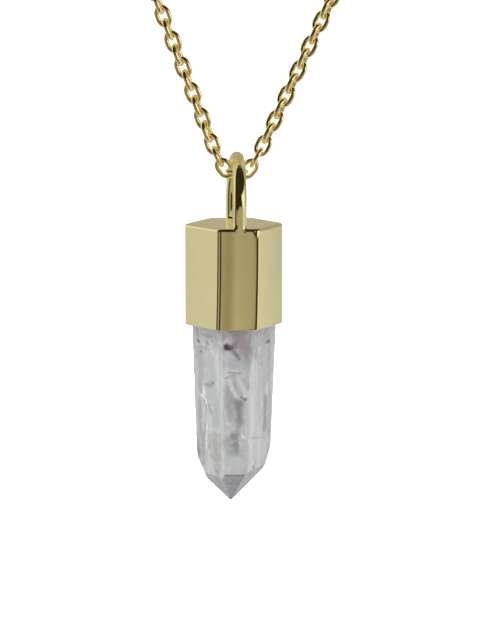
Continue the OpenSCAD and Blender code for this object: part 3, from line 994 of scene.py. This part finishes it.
chain_gold = gold_material("chain_gold", (1.0, 0.9, 0.55), (0.96, 0.82, 0.45), 900.0, 0.18, 0.1)
# In the links' crooks, where link meets link, the gold is painted darker and warmer: painted
# shade and painted reflection of gold in gold
tree = chain_gold.node_tree
shader = tree.nodes["Principled BSDF"]
in_crook_shade = add_node(tree, "ShaderNodeAttribute", attribute_name="crook_shade")
plate_tone = shader.inputs["Base Color"].links[0].from_socket
warm_shade = mix(tree, in_crook_shade.outputs["Fac"], plate_tone, (0.92, 0.56, 0.15, 1))
tree.links.new(warm_shade, shader.inputs["Base Color"])
for name, first, mirrored in (("chain_left", 0, True), ("chain_right", 1, False)):
    side = chain_side(name + "_links", first, mirrored)
    side.data.materials.append(chain_gold)
    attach(side, "necklace")
    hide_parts(name)


# The round clasp and its two rings close the loop at the nape. They are gold-plated wire and
# tube, bent round and soldered. The photo hides them, so they keep the solids' plain shapes.
for name in ("jump_ring", "clasp", "end_ring"):
    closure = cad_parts[name]
    closure.data.materials.clear()
    closure.data.materials.append(chain_gold)


# The floor is a plain pale table a little below the hanging stone. It only shows, and takes
# no part in what the gold and the stone mirror.
FLOOR_HALF = 4000
FLOOR_Z = -270
floor = mesh_object("floor", [
    (-FLOOR_HALF, -FLOOR_HALF, FLOOR_Z), (FLOOR_HALF, -FLOOR_HALF, FLOOR_Z),
    (FLOOR_HALF, FLOOR_HALF, FLOOR_Z), (-FLOOR_HALF, FLOOR_HALF, FLOOR_Z)], [(0, 1, 2, 3)])
floor.visible_glossy = False
floor.visible_transmission = False
floor.visible_diffuse = False
pale, tree, shader = new_material("pale_floor")
set_inputs(tree, shader, {
    "Base Color": (0.9, 0.9, 0.9, 1), "Roughness": 0.9,
    "Emission Color": (1, 1, 1, 1), "Emission Strength": 1.0})
floor.data.materials.append(pale)


# The studio is a tent of white cloth with soft light in it. It is open and dark toward the
# camera above the table's level, and dark screens beside the camera draw the cap's edges.
tent = bpy.data.worlds.new("tent")
bpy.context.scene.world = tent
tent.use_nodes = True
tree = tent.node_tree
tree.nodes.clear()
look = add_node(tree, "ShaderNodeTexCoord")
parts = add_node(tree, "ShaderNodeSeparateXYZ", {"Vector": look.outputs["Generated"]})
backward = calc(tree, "MULTIPLY", parts.outputs["Y"], -1.0)
azimuth = calc(tree, "ARCTAN2", parts.outputs["X"], backward)
turn = between(tree, azimuth, -math.pi, math.pi)
# Where the tent changes, as the height or depth of a direction: the cloth by the floor, the
# table's edge, the back and the top
FLOOR_BAND = (-0.125, -0.148)
TABLE_BAND = (-0.103, -0.07)
BACK_BAND = (0.09, 0.17)
TOP_BAND = (0.3, 0.42)


def tent_ring(stops):
    """A colour for each direction round the tent, in degrees from the front to the right."""
    ring = add_node(tree, "ShaderNodeValToRGB", {"Fac": turn})
    ramp = ring.color_ramp
    while len(ramp.elements) > 1:
        ramp.elements.remove(ramp.elements[0])
    for k, (degrees, colour) in enumerate(stops):
        stop = ramp.elements[0] if k == 0 else ramp.elements.new((degrees + 180) / 360)
        stop.position = (degrees + 180) / 360
        stop.color = (*colour, 1)
    return ring.outputs["Color"]


# At the table's level: light cloth with dark screens, mirrored by the cap's upright faces
SCREEN = (0.05, 0.045, 0.03)
LOW_BACK = (0.56, 0.57, 0.58)
low_cloth = [
    (-180, LOW_BACK), (-150, (0.6, 0.6, 0.6)), (-128, (0.62, 0.63, 0.62)),
    (-118, (0.74, 0.75, 0.75)), (-100, (0.76, 0.77, 0.76)), (-93, SCREEN), (-71, SCREEN),
    (-65, (0.42, 0.39, 0.31)), (-42, (0.44, 0.40, 0.32)), (-36, SCREEN), (-14, SCREEN),
    (-7, (0.42, 0.39, 0.31)), (-3, (0.47, 0.435, 0.36)), (1, (0.33, 0.30, 0.22)),
    (4, (0.50, 0.46, 0.38)), (8, (0.46, 0.425, 0.35)), (10.5, (0.50, 0.46, 0.38)),
    (16, (0.05, 0.045, 0.025)), (47, (0.05, 0.04, 0.02)), (55, (0.95, 0.9, 0.82)),
    (70, (0.95, 0.9, 0.82)), (84, (0.74, 0.72, 0.66)), (118, (0.80, 0.79, 0.75)),
    (130, (0.62, 0.63, 0.63)), (180, LOW_BACK),
]
# Nearer to the floor the cloth in front is a little lighter
floor_lit = [
    (degrees, tuple(part * (1 + 0.16 * math.exp(-((degrees - 5) / 3) ** 2)) for part in colour))
    for degrees, colour in low_cloth
]
near_floor = between(tree, parts.outputs["Z"], *FLOOR_BAND)
low_ring = mix(tree, near_floor, tent_ring(low_cloth), tent_ring(floor_lit))
# Above the table: dark toward the camera, with a bright cloth at the right and a paler left
OPEN_DARK = (0.035, 0.03, 0.012)
HIGH_BACK = (0.50, 0.46, 0.34)
high_ring = tent_ring([
    (-180, HIGH_BACK), (-150, (0.6, 0.58, 0.5)), (-118, (1.0, 0.98, 0.9)),
    (-102, (1.0, 0.98, 0.9)), (-92, OPEN_DARK), (18, OPEN_DARK), (26, (1.25, 1.15, 1.1)),
    (74, (1.25, 1.15, 1.1)), (92, (0.6, 0.57, 0.48)), (113, (0.42, 0.40, 0.34)),
    (150, (0.5, 0.47, 0.37)), (180, HIGH_BACK),
])
over_table = between(tree, parts.outputs["Z"], *TABLE_BAND)
around_tent = mix(tree, over_table, low_ring, high_ring)
# Overhead: dark toward the camera too, and cloth behind
back_ring = tent_ring([
    (-180, HIGH_BACK), (-150, (0.55, 0.52, 0.42)), (-110, (0.8, 0.78, 0.68)),
    (-90, (0.8, 0.78, 0.68)), (90, (0.5, 0.47, 0.37)), (180, HIGH_BACK),
])
behind = between(tree, parts.outputs["Y"], *BACK_BAND)
top_cloth = mix(tree, behind, (*OPEN_DARK, 1), back_ring)
whole = mix(tree, between(tree, parts.outputs["Z"], *TOP_BAND), around_tent, top_cloth)
# Light that goes from gold to gold comes out of the tent's whole inside
path_kind = add_node(tree, "ShaderNodeLightPath")
second = between(tree, path_kind.outputs["Glossy Depth"], 1.0, 2.0, 0.0, 0.75)
filled = mix(tree, second, whole, (0.95, 0.94, 0.90, 1))


def light(colour, strength=1.0):
    """Light of a colour, or of a link's colour, from all round."""
    lamp = add_node(tree, "ShaderNodeBackground", {"Color": colour, "Strength": strength})
    return lamp.outputs[0]


def light_for(part, others, its_own):
    """One light for some rays, told by a link, and another for the rest."""
    both = add_node(tree, "ShaderNodeMixShader", {0: part, 1: others, 2: its_own})
    return both.outputs[0]


# Rays through the stone find soft light, matt surfaces find light from both sides, and the
# camera finds a white backdrop
through = calc(tree, "MULTIPLY", path_kind.outputs["Is Transmission Ray"], 0.7)
softened = light_for(through, light(filled), light((*LOW_BACK, 1)))
SIDE_BACK = (0.8, 0.8, 0.8)
side_ring = tent_ring([
    (-180, SIDE_BACK), (-130, (0.95, 0.96, 0.96)), (-60, (1.1, 1.11, 1.1)),
    (-20, (0.65, 0.66, 0.67)), (10, (0.65, 0.66, 0.67)), (60, (1.1, 1.11, 1.1)),
    (130, (0.95, 0.96, 0.96)), (180, SIDE_BACK),
])
spread = light_for(path_kind.outputs["Is Diffuse Ray"], softened, light(side_ring))
seen = light_for(path_kind.outputs["Is Camera Ray"], spread, light((1, 1, 1, 1), 1.1))
add_node(tree, "ShaderNodeOutputWorld", {"Surface": seen})
bpy.context.scene.view_settings.view_transform = "Standard"
